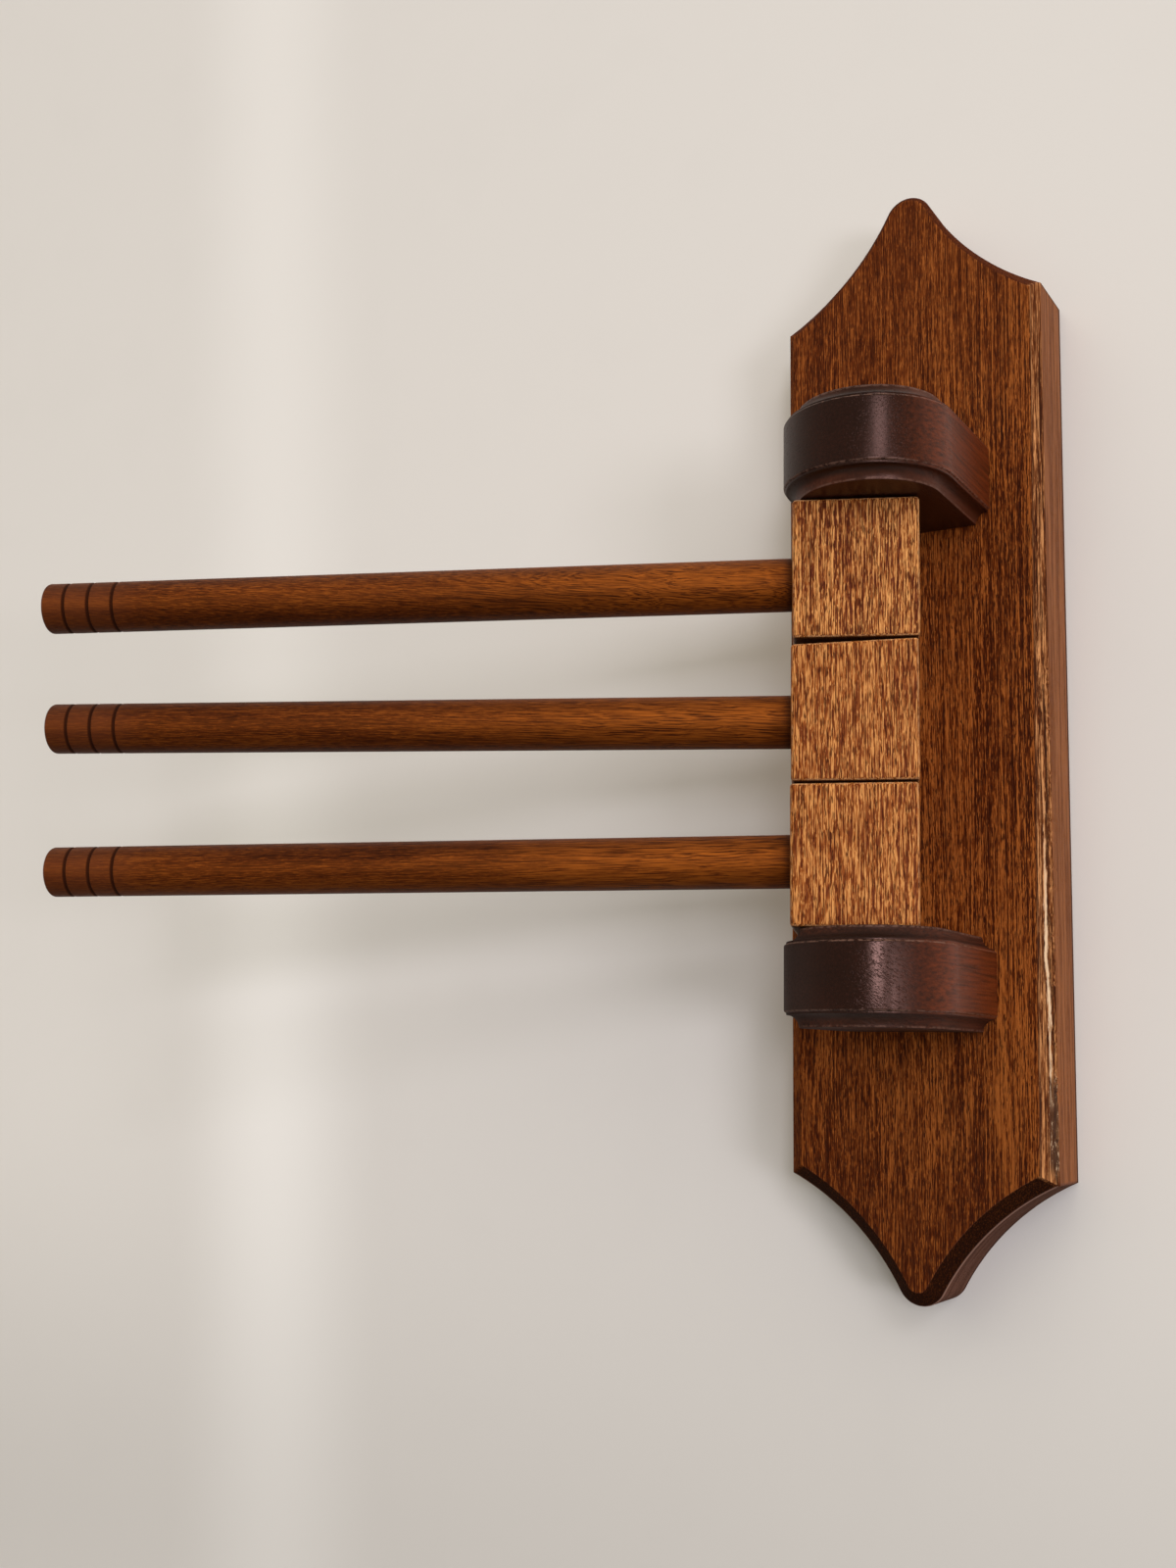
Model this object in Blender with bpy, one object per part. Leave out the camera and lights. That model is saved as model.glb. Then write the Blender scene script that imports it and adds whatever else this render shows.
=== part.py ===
# A wall rack with three swing arms.
# A board with ogee ends hangs flat on the wall. Two D-shaped brackets stand out from it and hold a
# vertical rod, and three square blocks turn on that rod, each with a round arm glued into its side.
# X runs to the right along the wall, Y into the wall, Z up. The origin is the middle of the board's back.
import math

import bmesh
import bpy
from mathutils import Vector

# Board
BOARD_WIDTH = 0.090
BOARD_THICKNESS = 0.0275
SHOULDER_HEIGHT = 0.1486
TIP_RISE = 0.0406
TIP_RADIUS = 0.0083
OGEE_RADIUS = 0.084
BOARD_CHAMFER = 0.0035

# Brackets
BRACKET_WIDTH = 0.0552
BRACKET_DEPTH = 0.0657
BRACKET_BAND = 0.0212
COVE_STEP = 0.0007
COVE_RADIUS = 0.0040
BAND_EASE = 0.0003

# Pivot rod and the blocks that turn on it
PIVOT_DROP = 0.0015
ROD_DIAMETER = 0.008
ROD_SEAT = 0.018
ROD_EASE = 0.0007
BLOCK_LENGTH = 0.0398
BLOCK_DEPTH = 0.0398
BLOCK_HEIGHT = 0.0452
BLOCK_OFFSET = 0.0100
BLOCK_EASE = 0.0012
MIDDLE_SLOPE = 0.0012

# Arms, listed from the top: how far each is swung out from the wall, and how far it points up
ARM_DIAMETER = 0.0174
ARM_REACH = 0.258
ARM_SWING = {"upper": 22.5, "middle": 20.9, "lower": 19.9}
ARM_RISE = {"upper": -0.5, "middle": 0.5, "lower": -0.5}
ARM_TIP_EASE = 0.0015
SOCKET_WALL = 0.0055
RING_COUNT = 3
RING_FIRST = 0.0083
RING_PITCH = 0.0088
RING_WIDTH = 0.0014
RING_DEPTH = 0.0008

# Screws that hold the brackets, driven from the board's back
BRACKET_SCREW_DIAMETER = 0.0048
BRACKET_SCREW_HEAD = 0.0094
BRACKET_SCREW_GRIP = 0.022
BRACKET_SCREW_SPREAD = 0.028

# Keyhole plates let into the board's back, and their screws
PLATE_WIDTH = 0.016
PLATE_THICKNESS = 0.0016
PLATE_END = 0.0125
PLATE_INSET = 0.028
KEYHOLE_ENTRY = 0.0095
KEYHOLE_SLOT = 0.0046
KEYHOLE_TRAVEL = 0.012
POCKET_WIDTH = 0.0115
POCKET_DEPTH = 0.007
PLATE_SCREW_DIAMETER = 0.0028
PLATE_SCREW_HEAD = 0.0054
PLATE_SCREW_GRIP = 0.011

# The point of each screw and the cross recess in its head, as shares of its diameter and the head's
SCREW_POINT = 1.0
SCREW_TIP = 0.33
RECESS_SPAN = 0.55
RECESS_WIDTH = 0.14
RECESS_DEPTH = 0.16

# Clearances
SEAT_GAP = 0.0003
RUNNING_GAP = 0.0005
BOARD_CLEARANCE = 0.0025
CUT_MARGIN = 0.002

# Facets on round shapes
ARC_STEPS = 12
DEE_STEPS = 26
COVE_STEPS = 4
ARM_FACETS = 24
ROD_FACETS = 20
SCREW_FACETS = 12

# Worked out from the sizes above
COVE_SIZE = COVE_STEP + COVE_RADIUS
BRACKET_THICKNESS = BRACKET_BAND + 2 * COVE_SIZE
LEVELS = ("upper", "middle", "lower")
PIVOT_SPACE = len(LEVELS) * BLOCK_HEIGHT + (len(LEVELS) + 1) * RUNNING_GAP
BRACKET_PITCH = PIVOT_SPACE + BRACKET_THICKNESS
ROD_RADIUS = ROD_DIAMETER / 2
BORE_RADIUS = ROD_RADIUS + SEAT_GAP
BLOCK_FACE = BLOCK_OFFSET + BLOCK_LENGTH / 2
BLOCK_HEEL = BLOCK_OFFSET - BLOCK_LENGTH / 2
PIVOT_REACH = math.hypot(BLOCK_HEEL, BLOCK_DEPTH / 2) + BOARD_CLEARANCE
PIVOT_Y = -BOARD_THICKNESS - PIVOT_REACH
SOCKET_DEPTH = BLOCK_FACE - BORE_RADIUS - SOCKET_WALL
KEYHOLE_LENGTH = KEYHOLE_ENTRY / 2 + KEYHOLE_TRAVEL + KEYHOLE_SLOT / 2
PLATE_LENGTH = KEYHOLE_LENGTH + 2 * PLATE_END
ENTRY_Z = KEYHOLE_ENTRY / 2 - KEYHOLE_LENGTH / 2
SLOT_Z = ENTRY_Z + KEYHOLE_TRAVEL
PLATE_SCREW_Z = PLATE_LENGTH / 2 - PLATE_END / 2
PLATE_HEIGHTS = {"upper": SHOULDER_HEIGHT - PLATE_INSET, "lower": PLATE_INSET - SHOULDER_HEIGHT}
BRACKET_HEIGHTS = {"upper": BRACKET_PITCH / 2 - PIVOT_DROP, "lower": -BRACKET_PITCH / 2 - PIVOT_DROP}
SIDES = {"left": -1, "right": 1}


def clear_scene():
    for thing in list(bpy.data.objects):
        bpy.data.objects.remove(thing, do_unlink=True)


def make_material(name, colour, roughness, metallic=0.0):
    material = bpy.data.materials.new(name)
    material.use_nodes = True
    shader = material.node_tree.nodes["Principled BSDF"]
    shader.inputs["Base Color"].default_value = (*colour, 1.0)
    shader.inputs["Roughness"].default_value = roughness
    shader.inputs["Metallic"].default_value = metallic
    return material


def make_object(name, mesh, material=None, parent=None, location=(0, 0, 0)):
    thing = bpy.data.objects.new(name, mesh)
    bpy.context.scene.collection.objects.link(thing)
    thing.location = location
    thing.parent = parent
    if material:
        mesh.materials.append(material)
    return thing


def mesh_of(name, points, faces, smooth_angle=None):
    # Faces may come in either turn: they are set to point outwards here.
    mesh = bpy.data.meshes.new(name)
    mesh.from_pydata([tuple(point) for point in points], [], faces)
    shape = bmesh.new()
    shape.from_mesh(mesh)
    bmesh.ops.recalc_face_normals(shape, faces=shape.faces)
    shape.to_mesh(mesh)
    shape.free()
    if smooth_angle:
        mesh.shade_smooth()
        mesh.set_sharp_from_angle(angle=math.radians(smooth_angle))
    return mesh


def skin(loops):
    # Points and faces of a closed shape through loops of equal count, flat at both ends.
    count = len(loops[0])
    points = [point for loop in loops for point in loop]
    faces = [list(range(count)), list(range(len(points) - count, len(points)))]
    for row in range(len(loops) - 1):
        for column in range(count):
            after = (column + 1) % count
            low, high = row * count, (row + 1) * count
            faces.append([low + column, low + after, high + after, high + column])
    return points, faces


def turned(profile, facets, along):
    # A solid of revolution: profile is (distance along the axis, radius), along turns those into points.
    turns = [2 * math.pi * step / facets for step in range(facets)]
    return skin([[along(place, radius * math.cos(turn), radius * math.sin(turn)) for turn in turns]
                 for place, radius in profile])


def joined(shapes):
    # Several closed shapes in one list of points and faces.
    points, faces = [], []
    for more_points, more_faces in shapes:
        start = len(points)
        points.extend(more_points)
        faces.extend([[start + corner for corner in face] for face in more_faces])
    return points, faces


def make_cutter(name, shapes, parent=None):
    cutter = make_object(name, mesh_of(name, *joined(shapes)), parent=parent)
    cutter.hide_render = True
    cutter.display_type = "WIRE"
    return cutter


def cut(thing, cutter):
    boolean = thing.modifiers.new(cutter.name, "BOOLEAN")
    boolean.operation = "DIFFERENCE"
    boolean.solver = "EXACT"
    boolean.object = cutter


def arc(centre, radius, start, end, steps):
    # Points from one angle to another, both in radians.
    angles = [start + (end - start) * step / steps for step in range(steps + 1)]
    return [(centre[0] + radius * math.cos(angle), centre[1] + radius * math.sin(angle)) for angle in angles]


def stadium(width, low, high, steps=ARC_STEPS // 2):
    # A slot outline with round ends, whose end centres lie at low and high.
    radius = width / 2
    return arc((0, high), radius, 0, math.pi, steps) + arc((0, low), radius, math.pi, 2 * math.pi, steps)


def prism(outline, back, front, shift=0.0):
    # An outline in X and Z drawn out along Y, moved up by shift.
    return skin([[(x, y, z + shift) for x, z in outline] for y in (back, front)])


def board_outline():
    # One quarter: the concave arc from the shoulder meets the convex tip arc without a kink.
    shoulder = Vector((BOARD_WIDTH / 2, SHOULDER_HEIGHT))
    tip = Vector((0.0, SHOULDER_HEIGHT + TIP_RISE - TIP_RADIUS))
    between = tip - shoulder
    reach = between.length
    along = (reach ** 2 + OGEE_RADIUS ** 2 - (OGEE_RADIUS + TIP_RADIUS) ** 2) / (2 * reach)
    across = math.sqrt(OGEE_RADIUS ** 2 - along ** 2)
    step = between.normalized()
    hollow = shoulder + step * along + Vector((step.y, -step.x)) * across
    to_shoulder = math.atan2(*reversed(shoulder - hollow)) % (2 * math.pi)
    to_tip = math.atan2(*reversed(tip - hollow)) % (2 * math.pi)
    lean = math.atan2(*reversed(hollow - tip))
    quarter = arc(hollow, OGEE_RADIUS, to_shoulder, to_tip, ARC_STEPS)
    quarter += arc(tip, TIP_RADIUS, lean, math.pi / 2, ARC_STEPS // 2)[1:]
    upper = quarter + [(-x, z) for x, z in reversed(quarter[:-1])]
    return upper + [(-x, -z) for x, z in upper]


def make_board(material, cutters):
    mesh = mesh_of("backboard", *prism(board_outline(), 0.0, -BOARD_THICKNESS))
    shape = bmesh.new()
    shape.from_mesh(mesh)
    front = [edge for edge in shape.edges if all(vert.co.y < -BOARD_THICKNESS / 2 for vert in edge.verts)]
    bmesh.ops.bevel(shape, geom=front, offset=BOARD_CHAMFER, offset_type="OFFSET", segments=1,
                    affect="EDGES", profile=0.5)
    shape.to_mesh(mesh)
    shape.free()
    board = make_object("backboard", mesh, material)
    for cutter in cutters:
        cut(board, cutter)


def dee_loop(inset, height):
    # A D outline: straight sides from the board, a half circle at the front, drawn in by inset.
    radius = BRACKET_WIDTH / 2 - inset
    root = -BOARD_THICKNESS - SEAT_GAP
    centre = -BOARD_THICKNESS - BRACKET_DEPTH + BRACKET_WIDTH / 2
    front = [(x, y, height) for x, y in arc((0.0, centre), radius, math.pi, 2 * math.pi, DEE_STEPS)]
    return [(-radius, root, height)] + front + [(radius, root, height)]


def make_bracket(level, material, cutters):
    # Down one side: a cove, a small sloped step, the full band, then the same upside down.
    half = BRACKET_BAND / 2
    turns = [math.pi / 2 * step / COVE_STEPS for step in range(COVE_STEPS + 1)]
    cove = [(COVE_STEP + COVE_RADIUS * math.cos(turn), half + COVE_SIZE - COVE_RADIUS * math.sin(turn))
            for turn in turns]
    top = cove + [(COVE_STEP, half), (0.0, half - BAND_EASE)]
    sides = top + [(inset, -height) for inset, height in reversed(top)]
    loops = [dee_loop(inset, height) for inset, height in sides]
    name = level + "_bracket"
    bracket = make_object(name, mesh_of(name, *skin(loops), smooth_angle=30), material,
                          location=(0, 0, BRACKET_HEIGHTS[level]))
    for cutter in cutters:
        cut(bracket, cutter)


def screw_profile(diameter, head, length, grow=0.0, start=0.0):
    # From the head's flat top to the blunt point, as depth below the head and radius.
    # grow widens it into the hole that the screw sits in, and start begins it that far above the head.
    shank, cap = diameter / 2 + grow, head / 2 + grow
    cone = cap - shank
    point = diameter * SCREW_POINT
    top = [(-start, cap)] if start else []
    return top + [(0.0, cap), (cone, shank), (length - point, shank), (length + grow, shank * SCREW_TIP)]


def into_board(x, z, sunk):
    # Places a turned shape on a line that runs forward from the board's back.
    return lambda place, right, up: (x + right, -sunk - place, z + up)


def recess(head, into):
    # Two crossed slots cut into a screw head.
    span, width, depth = RECESS_SPAN * head / 2, RECESS_WIDTH * head / 2, RECESS_DEPTH * head
    boxes = []
    for wide, tall in ((span, width), (width, span)):
        corners = [(wide, tall), (-wide, tall), (-wide, -tall), (wide, -tall)]
        boxes.append(skin([[into(place, x, z) for x, z in corners] for place in (-CUT_MARGIN, depth)]))
    return boxes


def make_screw(name, material, diameter, head, length, into):
    points, faces = turned(screw_profile(diameter, head, length), SCREW_FACETS, into)
    screw = make_object(name, mesh_of(name, points, faces, smooth_angle=40), material)
    for side, slot in zip(("flat", "upright"), recess(head, into)):
        cut(screw, make_cutter(f"{name}_{side}_slot", [slot]))


def bracket_screws():
    # Name and line of each screw that holds a bracket.
    for level, height in BRACKET_HEIGHTS.items():
        for side, sign in SIDES.items():
            into = into_board(sign * BRACKET_SCREW_SPREAD / 2, height, SEAT_GAP)
            yield f"{level}_bracket_screw_{side}", into


def plate_screws():
    # Name and line of each screw that holds a keyhole plate.
    for level, height in PLATE_HEIGHTS.items():
        for end, sign in {"top": 1, "bottom": -1}.items():
            yield f"{level}_plate_screw_{end}", into_board(0.0, height + sign * PLATE_SCREW_Z, 2 * SEAT_GAP)


def hole(diameter, head, length, into):
    profile = screw_profile(diameter, head, length, grow=SEAT_GAP, start=CUT_MARGIN)
    return turned(profile, SCREW_FACETS, into)


def keyhole_outline():
    # A round entry with a narrow slot that runs up from it and ends round.
    entry, slot = KEYHOLE_ENTRY / 2, KEYHOLE_SLOT / 2
    meet = math.asin(slot / entry)
    bottom = arc((0, ENTRY_Z), entry, math.pi / 2 + meet, 5 * math.pi / 2 - meet, ARC_STEPS)
    return bottom + arc((0, SLOT_Z), slot, 0, math.pi, ARC_STEPS // 2)


def make_plate(level, material, screw_holes):
    straight = PLATE_LENGTH / 2 - PLATE_WIDTH / 2
    height = PLATE_HEIGHTS[level]
    name = level + "_keyhole_plate"
    back, front = -SEAT_GAP, -SEAT_GAP - PLATE_THICKNESS
    shape = prism(stadium(PLATE_WIDTH, -straight, straight), back, front, height)
    plate = make_object(name, mesh_of(name, *shape), material)
    keyhole = prism(keyhole_outline(), CUT_MARGIN, front - CUT_MARGIN, height)
    cut(plate, make_cutter(level + "_keyhole", [keyhole]))
    cut(plate, screw_holes)


def make_rod(material):
    end = PIVOT_SPACE / 2 + ROD_SEAT
    profile = [(-end, ROD_RADIUS - ROD_EASE), (ROD_EASE - end, ROD_RADIUS), (end - ROD_EASE, ROD_RADIUS),
               (end, ROD_RADIUS - ROD_EASE)]
    points, faces = turned(profile, ROD_FACETS, lambda place, x, y: (x, y, place))
    make_object("pivot_rod", mesh_of("pivot_rod", points, faces, smooth_angle=30), material,
                location=(0, PIVOT_Y, -PIVOT_DROP))


def rod_cutter(name, reach, parent=None, location=(0, 0, 0)):
    profile = [(-reach, BORE_RADIUS), (reach, BORE_RADIUS)]
    cutter = make_cutter(name, [turned(profile, ROD_FACETS, lambda place, x, y: (x, y, place))], parent)
    cutter.location = location
    return cutter


def arm_profile():
    # From the end in the socket to the tip, with a V groove for each scored ring.
    radius = ARM_DIAMETER / 2
    tip = ARM_REACH
    profile = [(SEAT_GAP - SOCKET_DEPTH, radius)]
    for ring in reversed(range(RING_COUNT)):
        middle = tip - RING_FIRST - ring * RING_PITCH
        profile += [(middle - RING_WIDTH / 2, radius), (middle, radius - RING_DEPTH),
                    (middle + RING_WIDTH / 2, radius)]
    turns = [math.pi / 2 * step / COVE_STEPS for step in range(COVE_STEPS + 1)]
    profile += [(tip - ARM_TIP_EASE * (1 - math.sin(turn)), radius - ARM_TIP_EASE * (1 - math.cos(turn)))
                for turn in turns]
    return profile


def make_swing(level, place, block_material, arm_material):
    # The empty stands on the pivot axis: its X runs along the arm and its Y out of the block's front face.
    height = PIVOT_SPACE / 2 - RUNNING_GAP - BLOCK_HEIGHT / 2 - place * (BLOCK_HEIGHT + RUNNING_GAP)
    pivot = make_object(level + "_pivot", None, location=(0, PIVOT_Y, height - PIVOT_DROP))
    pivot.rotation_euler.z = math.pi + math.radians(ARM_SWING[level])
    slope = MIDDLE_SLOPE if level == "middle" else 0.0
    side, half = BLOCK_DEPTH / 2, BLOCK_HEIGHT / 2
    lower = [(BLOCK_HEEL, -side), (BLOCK_FACE, -side), (BLOCK_FACE, side), (BLOCK_HEEL, side)]
    upper = [(x, y, half - (slope if x == BLOCK_FACE else 0.0)) for x, y in lower]
    name = level + "_block"
    block = make_object(name, mesh_of(name, *skin([[(x, y, -half) for x, y in lower], upper])),
                        block_material, pivot)
    ease = block.modifiers.new("eased edges", "BEVEL")
    ease.width = BLOCK_EASE
    ease.segments = 2
    cut(block, rod_cutter(level + "_bore", half + CUT_MARGIN, pivot))
    along = lambda place, across, up: (place, across, up)
    socket_profile = [(-SOCKET_DEPTH, ARM_DIAMETER / 2 + SEAT_GAP), (CUT_MARGIN, ARM_DIAMETER / 2 + SEAT_GAP)]
    socket = make_cutter(level + "_socket", [turned(socket_profile, ARM_FACETS, along)], pivot)
    name = level + "_arm"
    points, faces = turned(arm_profile(), ARM_FACETS, along)
    arm = make_object(name, mesh_of(name, points, faces, smooth_angle=25), arm_material, pivot)
    for thing in (arm, socket):
        thing.location.x = BLOCK_FACE
        thing.rotation_euler.y = -math.radians(ARM_RISE[level])
    cut(block, socket)


def make_rack():
    clear_scene()
    board_wood = make_material("board wood", (0.19, 0.061, 0.032), 0.42)
    bracket_wood = make_material("bracket wood", (0.048, 0.019, 0.013), 0.35)
    block_wood = make_material("block wood", (0.30, 0.114, 0.048), 0.45)
    arm_wood = make_material("arm wood", (0.26, 0.080, 0.042), 0.42)
    steel = make_material("rod steel", (0.56, 0.55, 0.53), 0.30, 1.0)
    zinc = make_material("plated steel", (0.62, 0.58, 0.45), 0.35, 1.0)

    bracket_screw = (BRACKET_SCREW_DIAMETER, BRACKET_SCREW_HEAD, BOARD_THICKNESS + BRACKET_SCREW_GRIP)
    plate_screw = (PLATE_SCREW_DIAMETER, PLATE_SCREW_HEAD, PLATE_SCREW_GRIP)
    bracket_holes = make_cutter("bracket_screw_holes",
                                [hole(*bracket_screw, into) for _, into in bracket_screws()])
    plate_holes = make_cutter("plate_screw_holes", [hole(*plate_screw, into) for _, into in plate_screws()])
    floor = -2 * SEAT_GAP - PLATE_THICKNESS
    straight = PLATE_LENGTH / 2 - PLATE_WIDTH / 2
    mortise = stadium(PLATE_WIDTH + 2 * SEAT_GAP, -straight, straight)
    pocket = stadium(POCKET_WIDTH, ENTRY_Z, SLOT_Z)
    heights = PLATE_HEIGHTS.values()
    mortises = make_cutter("mortises", [prism(mortise, CUT_MARGIN, floor, height) for height in heights])
    pockets = make_cutter("pockets", [prism(pocket, CUT_MARGIN, floor - POCKET_DEPTH, height)
                                      for height in heights])

    make_board(board_wood, [bracket_holes, mortises, pockets, plate_holes])
    rod_holes = rod_cutter("rod_holes", PIVOT_SPACE / 2 + ROD_SEAT + SEAT_GAP,
                           location=(0, PIVOT_Y, -PIVOT_DROP))
    for level in BRACKET_HEIGHTS:
        make_bracket(level, bracket_wood, [rod_holes, bracket_holes])
        make_plate(level, zinc, plate_holes)
    make_rod(steel)
    for place, level in enumerate(LEVELS):
        make_swing(level, place, block_wood, arm_wood)
    for name, into in bracket_screws():
        make_screw(name, zinc, *bracket_screw, into)
    for name, into in plate_screws():
        make_screw(name, zinc, *plate_screw, into)


make_rack()
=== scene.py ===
import math

import bmesh
import bpy
import numpy as np
from mathutils import Matrix, Vector


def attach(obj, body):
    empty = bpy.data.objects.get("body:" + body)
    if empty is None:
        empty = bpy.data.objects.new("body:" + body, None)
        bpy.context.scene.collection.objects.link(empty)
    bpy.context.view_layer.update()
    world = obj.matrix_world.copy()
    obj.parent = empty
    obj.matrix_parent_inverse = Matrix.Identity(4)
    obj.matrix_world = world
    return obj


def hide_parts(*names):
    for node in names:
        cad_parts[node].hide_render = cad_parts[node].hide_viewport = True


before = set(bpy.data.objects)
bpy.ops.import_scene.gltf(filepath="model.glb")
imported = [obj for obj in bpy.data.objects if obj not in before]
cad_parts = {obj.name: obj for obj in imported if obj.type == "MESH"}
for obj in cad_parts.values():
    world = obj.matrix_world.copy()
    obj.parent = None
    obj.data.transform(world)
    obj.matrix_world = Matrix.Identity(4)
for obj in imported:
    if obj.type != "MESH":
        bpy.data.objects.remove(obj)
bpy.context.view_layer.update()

# Shapes are worked out in millimetres, X right along the wall, Y into it, Z up, and written in metres.
millimetre = 0.001


def gridFaces(rows, columns):
    # quads from each row to the next, closed round every row
    index = np.arange(rows * columns).reshape(rows, columns)
    after = np.roll(index, -1, axis=1)
    return np.stack([index[:-1], after[:-1], after[1:], index[1:]], -1).reshape(-1, 4).tolist()


def skin(loops):
    # loops of equal count joined one to the next, with a flat face over each end
    rows, columns = loops.shape[:2]
    ends = [list(range(columns)), list(range((rows - 1) * columns, rows * columns))]
    return loops.reshape(-1, 3), gridFaces(rows, columns) + ends


def together(shapes):
    # several closed shapes in one list of points and faces
    points, faces = zip(*shapes)
    starts = np.cumsum([0] + [len(part) for part in points])
    shifted = [[start + corner for corner in face] for start, part in zip(starts, faces) for face in part]
    return np.concatenate(points), shifted


def turned(profile, columns):
    # a radius carried round the first axis: place, radius cos turn, radius sin turn
    place, radius = np.array(profile, float).T[..., None]
    turn = np.linspace(0, 2 * np.pi, columns, endpoint=False)
    return np.stack(np.broadcast_arrays(place, radius * np.cos(turn), radius * np.sin(turn)), -1)


def arc(start, end, steps):
    turn = np.linspace(start, end, steps)
    return np.cos(turn), np.sin(turn)


def eased(before, corner, after, steps=5):
    # a rounded arris: the curve that leaves before, heads for the corner and ends at after
    share = np.linspace(0, 1, steps)[:, None]
    before, corner, after = np.array(before), np.array(corner), np.array(after)
    return (1 - share) ** 2 * before + 2 * share * (1 - share) * corner + share ** 2 * after


def newObject(name, shape, marks=None):
    points, faces = shape
    mesh = bpy.data.meshes.new(name)
    mesh.from_pydata((np.asarray(points) * millimetre).tolist(), [], faces)
    for mark, values in (marks or {}).items():
        mesh.attributes.new(mark, "FLOAT", "POINT").data.foreach_set("value", np.ravel(values))
    work = bmesh.new()
    work.from_mesh(mesh)
    bmesh.ops.remove_doubles(work, verts=work.verts, dist=millimetre * 1e-4)
    bmesh.ops.recalc_face_normals(work, faces=work.faces)
    work.to_mesh(mesh)
    work.free()
    thing = bpy.data.objects.new(name, mesh)
    bpy.context.scene.collection.objects.link(thing)
    return thing


def carve(thing, shapes):
    # cuts the shapes out one after the other and keeps the result as the piece's own mesh
    tools = [newObject("cutter", shape) for shape in shapes]
    for tool in tools:
        cut = thing.modifiers.new("cut", "BOOLEAN")
        cut.object, cut.solver = tool, "EXACT"
    carved = bpy.data.meshes.new_from_object(thing.evaluated_get(bpy.context.evaluated_depsgraph_get()))
    thing.modifiers.clear()
    thing.data = carved
    for tool in tools:
        bpy.data.objects.remove(tool)


def dress(thing, node, body, finish, sharp=32):
    thing.data.materials.clear()
    thing.data.materials.append(finish.owner)
    thing.data.shade_smooth()
    thing.data.set_sharp_from_angle(angle=math.radians(sharp))
    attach(thing, body)
    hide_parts(node)
    print("made", thing.name, "with", len(thing.data.polygons), "faces")


def tint(colour):
    # red, green and blue as a screen shows them, 0 to 255, as the linear light that shaders use
    shown = np.array(colour) / 255
    return (*np.where(shown > 0.04045, ((shown + 0.055) / 1.055) ** 2.4, shown / 12.92), 1.0)


class Wire:
    # a socket that reckons: each sign adds one Math node
    def __init__(self, finish, socket):
        self.finish, self.socket = finish, socket

    def reckon(self, operation, *values):
        return self.finish.add("Math", {"operation": operation}, dict(enumerate(values)))

    def __add__(self, other):
        return self.reckon("ADD", self, other)

    __radd__ = __add__

    def __sub__(self, other):
        return self.reckon("SUBTRACT", self, other)

    def __rsub__(self, other):
        return self.reckon("SUBTRACT", other, self)

    def __mul__(self, other):
        return self.reckon("MULTIPLY", self, other)

    def __truediv__(self, other):
        return self.reckon("DIVIDE", self, other)

    def __abs__(self):
        return self.reckon("ABSOLUTE", self)

    def least(self, other):
        return self.reckon("MINIMUM", self, other)

    def most(self, other):
        return self.reckon("MAXIMUM", self, other)


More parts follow.
